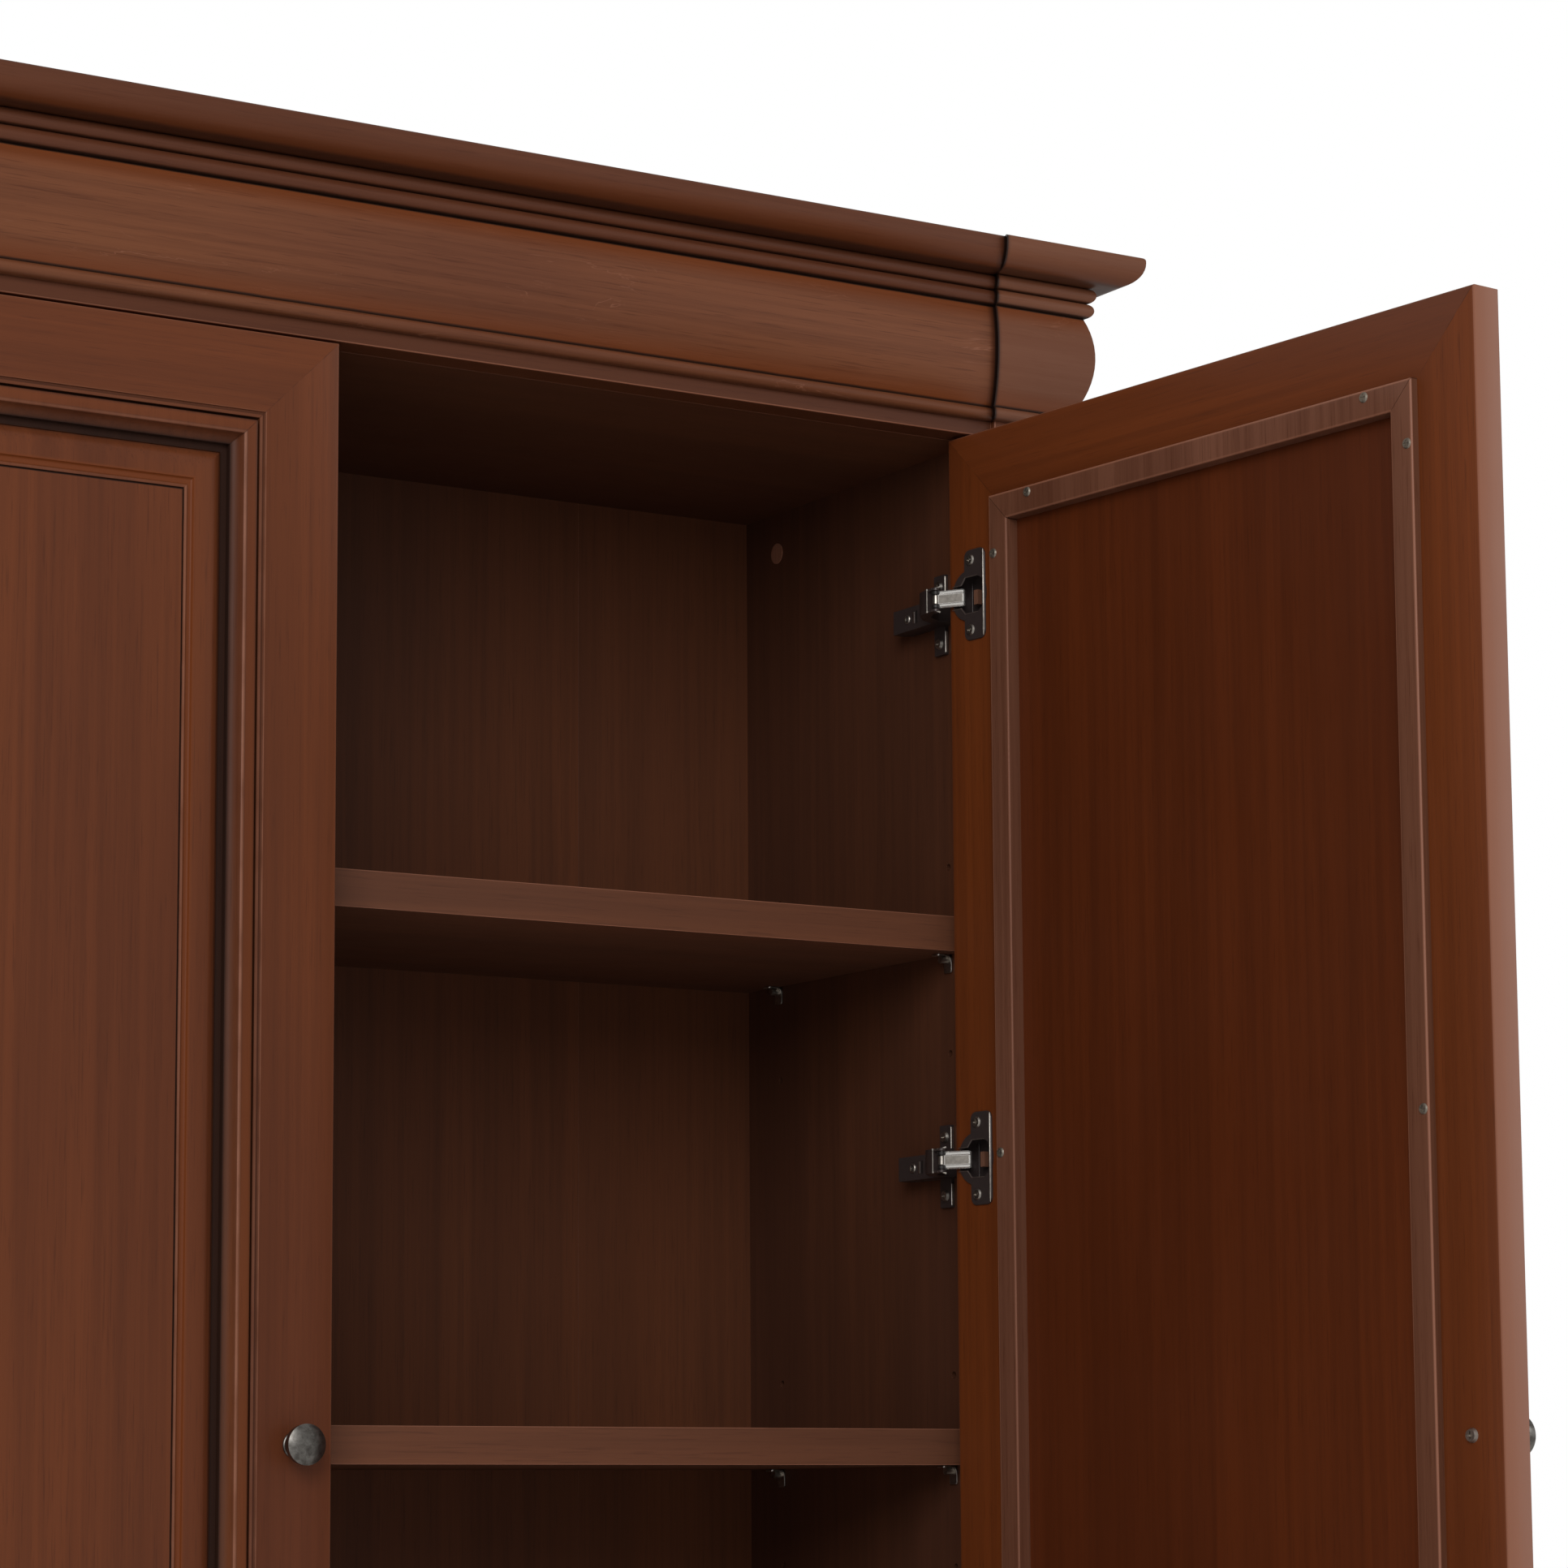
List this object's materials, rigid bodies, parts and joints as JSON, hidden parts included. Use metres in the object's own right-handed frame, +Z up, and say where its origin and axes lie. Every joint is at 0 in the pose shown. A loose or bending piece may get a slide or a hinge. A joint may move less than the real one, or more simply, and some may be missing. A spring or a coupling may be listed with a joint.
{
  "type": "armoire",
  "caption": "Dark stained wooden armoire with a deep moulded cornice, inset raised-panel doors on concealed hinges, round knobs and full-width shelves.",
  "frame": {"origin": "on the floor, under the middle of the case, on the underside of the centre plinth bearer", "axes": "+Z up, +Y towards the back, +X to the viewer's right from the front"},
  "size_m": [1.187, 0.8053, 1.6005],
  "materials": {
    "door_wood": "cherry stain, satin lacquer with dark glaze in the quirks",
    "case_wood": "cherry stain, satin lacquer",
    "interior_wood": "dark cherry stain, satin",
    "pewter": "aged pewter, worn",
    "nickel": "satin nickel plate",
    "bright_nickel": "bright nickel plate",
    "black_nickel": "black nickel plate"
  },
  "bodies": {
    "case": {"skirting_front": "case_wood", "skirting_sides": "case_wood", "skirting_cap_front": "case_wood", "skirting_cap_sides": "case_wood", "plinth_bearers": "interior_wood", "bottom_panel": "interior_wood", "front_post_left": "case_wood", "front_post_right": "case_wood", "rear_posts": "case_wood", "side_rails": "case_wood", "side_panels": "case_wood", "wall_liner_left": "interior_wood", "wall_liner_right": "interior_wood", "top_panel": "interior_wood", "top_rail": "case_wood", "dust_cover": "interior_wood", "back_board_left": "interior_wood", "back_board_middle": "interior_wood", "back_board_right": "interior_wood", "shelf_upper": "interior_wood", "shelf_middle": "interior_wood", "shelf_lower": "interior_wood", "shelf_pins": "nickel", "connector_caps": "interior_wood", "crown_front": "case_wood", "crown_corners": "case_wood", "crown_sides": "case_wood", "frieze_front": "case_wood", "frieze_corners": "case_wood", "frieze_sides": "case_wood", "hinge_arms": "black_nickel", "hinge_arm_pins": "nickel", "hinge_plates": "black_nickel", "hinge_plate_screws": "nickel"},
    "left_door": {"left_hinge_stile": "door_wood", "left_free_stile": "door_wood", "left_top_rail": "door_wood", "left_bottom_rail": "door_wood", "left_panel": "door_wood", "left_moulding": "door_wood", "left_battens": "door_wood", "left_batten_screws": "nickel", "left_knob": "pewter", "left_knob_screw": "nickel", "left_hinge_cups": "black_nickel", "left_cup_screws": "nickel"},
    "right_door": {"right_hinge_stile": "door_wood", "right_free_stile": "door_wood", "right_top_rail": "door_wood", "right_bottom_rail": "door_wood", "right_panel": "door_wood", "right_moulding": "door_wood", "right_battens": "door_wood", "right_batten_screws": "nickel", "right_knob": "pewter", "right_knob_screw": "nickel", "right_hinge_cups": "black_nickel", "right_cup_screws": "nickel"},
    "left_links": {"left_hinge_links": "bright_nickel"},
    "right_links": {"right_hinge_links": "bright_nickel"}
  },
  "joints": [
    {"name": "left_door_hinge", "type": "hinge", "parent": "case", "child": "left_door", "pos_m": [-0.482, -0.158, 0.105], "axis": [0, 0, 1], "range_deg": [-102.6, 0]},
    {"name": "right_door_hinge", "type": "hinge", "parent": "case", "child": "right_door", "pos_m": [0.482, -0.158, 0.105], "axis": [0, 0, 1], "range_deg": [-95.5, 7.1]},
    {"name": "left_link_pivot", "type": "hinge", "parent": "case", "child": "left_links", "pos_m": [-0.46, -0.146, 0.21595], "axis": [0, 0, 1], "range_deg": [0, 46.5]},
    {"name": "right_link_pivot", "type": "hinge", "parent": "case", "child": "right_links", "pos_m": [0.46, -0.146, 0.21595], "axis": [0, 0, 1], "range_deg": [-3.3, 43.5]}
  ],
  "couplings": [
    {"joint": "left_link_pivot", "follows": "left_door_hinge", "ratio": -0.45},
    {"joint": "right_link_pivot", "follows": "right_door_hinge", "ratio": -0.45}
  ]
}
